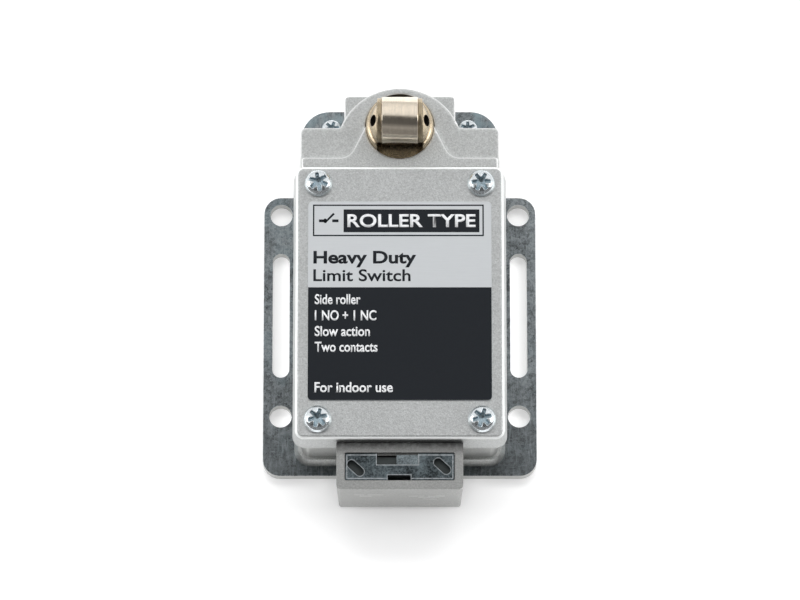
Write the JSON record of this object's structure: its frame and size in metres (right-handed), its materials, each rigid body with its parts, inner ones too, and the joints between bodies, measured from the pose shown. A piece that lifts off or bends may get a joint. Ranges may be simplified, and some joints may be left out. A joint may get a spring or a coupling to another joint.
{
  "type": "limit switch",
  "caption": "Industrial limit switch with a side roller plunger, a screwed cover with nameplate, a cable receptacle and a steel mounting plate.",
  "frame": {"origin": "centre of the four mounting holes, on the back face of the mounting plate", "axes": "+X across the switch to the right when the cover is seen with the head up, +Y from the cable end to the head, +Z out of the mounting face towards the cover and the roller"},
  "size_m": [0.0874, 0.1328, 0.0415],
  "materials": {
    "mounting_plate": "zinc plated, satin",
    "body_housing": "satin die casting",
    "cover": "satin die casting",
    "cover_gasket": "matt",
    "cover_screws": "bright zinc",
    "nameplate": "satin, printed",
    "head_housing": "satin die casting",
    "head_gasket": "matt",
    "head_screws": "ground",
    "plate_screws": "zinc plated, satin",
    "ground_screws": "zinc plated, satin",
    "spring_plate": "ground",
    "plunger_seal": "matt",
    "rod_bushing": "satin",
    "rod_seal": "matt",
    "plunger_spring": "ground",
    "receptacle_housing": "satin die casting",
    "receptacle_gasket": "matt",
    "receptacle_screws": "ground",
    "receptacle_plate": "zinc plated, satin",
    "receptacle_latch": "bright",
    "receptacle_insulator": "moulded",
    "receptacle_pins": "plated",
    "contact_base": "moulded",
    "contact_cover": "moulded",
    "contact_screws": "zinc plated, satin",
    "fixed_contacts": "silver tipped",
    "terminal_screws": "zinc plated, satin",
    "terminal_clamps": "zinc plated, satin",
    "wires": "insulated",
    "return_spring": "ground",
    "plunger": "satin",
    "roller_pin": "ground",
    "thrust_washers": "satin",
    "stop_pins": "ground",
    "roller": "turned, satin",
    "push_rod": "ground",
    "contact_carrier": "moulded",
    "contact_bridges": "silver tipped",
    "bridge_springs": "ground"
  },
  "bodies": {
    "housing": {"mounting_plate": "mounting_plate", "body_housing": "body_housing", "cover": "cover", "cover_gasket": "cover_gasket", "cover_screws": "cover_screws", "nameplate": "nameplate", "head_housing": "head_housing", "head_gasket": "head_gasket", "head_screws": "head_screws", "plate_screws": "plate_screws", "ground_screws": "ground_screws", "spring_plate": "spring_plate", "rod_bushing": "rod_bushing", "rod_seal": "rod_seal", "plunger_spring": "plunger_spring", "receptacle_housing": "receptacle_housing", "receptacle_gasket": "receptacle_gasket", "receptacle_screws": "receptacle_screws", "receptacle_plate": "receptacle_plate", "receptacle_latch": "receptacle_latch", "receptacle_insulator": "receptacle_insulator", "receptacle_pins": "receptacle_pins", "contact_base": "contact_base", "contact_cover": "contact_cover", "contact_screws": "contact_screws", "fixed_contacts": "fixed_contacts", "terminal_screws": "terminal_screws", "terminal_clamps": "terminal_clamps", "wires": "wires", "return_spring": "return_spring"},
    "plunger": {"plunger": "plunger", "plunger_seal": "plunger_seal", "roller_pin": "roller_pin", "thrust_washers": "thrust_washers", "stop_pins": "stop_pins"},
    "roller": {"roller": "roller"},
    "rod": {"push_rod": "push_rod"},
    "carrier": {"contact_carrier": "contact_carrier", "contact_bridges": "contact_bridges", "bridge_springs": "bridge_springs"}
  },
  "joints": [
    {"name": "plunger_slide", "type": "slide", "parent": "housing", "child": "plunger", "axis": [0, 0, -1], "range_m": [0, 0.005], "stiffness_N_per_m": 1500, "springref_m": -0.005, "deforming": ["plunger_spring"]},
    {"name": "roller_spin", "type": "hinge", "parent": "plunger", "child": "roller", "pos_m": [0, 0.0563, 0.034], "axis": [1, 0, 0], "continuous": true},
    {"name": "rod_slide", "type": "slide", "parent": "housing", "child": "rod", "axis": [0, -1, 0], "range_m": [0, 0.0025]},
    {"name": "carrier_slide", "type": "slide", "parent": "housing", "child": "carrier", "axis": [0, -1, 0], "range_m": [0, 0.0025], "stiffness_N_per_m": 150, "springref_m": -0.003, "deforming": ["return_spring"]}
  ],
  "couplings": [
    {"joint": "rod_slide", "follows": "plunger_slide", "ratio": 0.5},
    {"joint": "carrier_slide", "follows": "plunger_slide", "ratio": 0.5}
  ]
}
